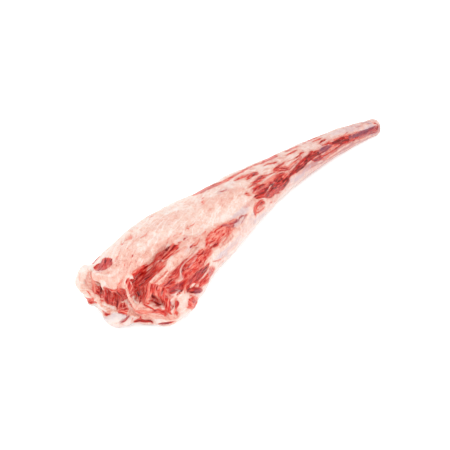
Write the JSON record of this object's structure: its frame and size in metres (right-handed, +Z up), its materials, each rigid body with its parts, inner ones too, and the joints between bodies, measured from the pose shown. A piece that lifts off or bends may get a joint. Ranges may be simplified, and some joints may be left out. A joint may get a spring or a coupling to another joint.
{
  "type": "oxtail",
  "caption": "Whole raw oxtail, skinned and uncut: thick at the butt, tapering in a gentle bend to the tip, with fat over dark red muscle.",
  "frame": {"origin": "bottom centre of the box round the whole tail, on the surface it lies on", "axes": "+X from the butt to the tip, +Z up, away from the belly; the tip bends towards -Y"},
  "size_m": [0.5198, 0.1292, 0.07],
  "materials": {
    "raw_meat": "moist raw meat under pale fat and silverskin, soft sheen"
  },
  "bodies": {
    "root": {"oxtail": "raw_meat"}
  },
  "joints": []
}
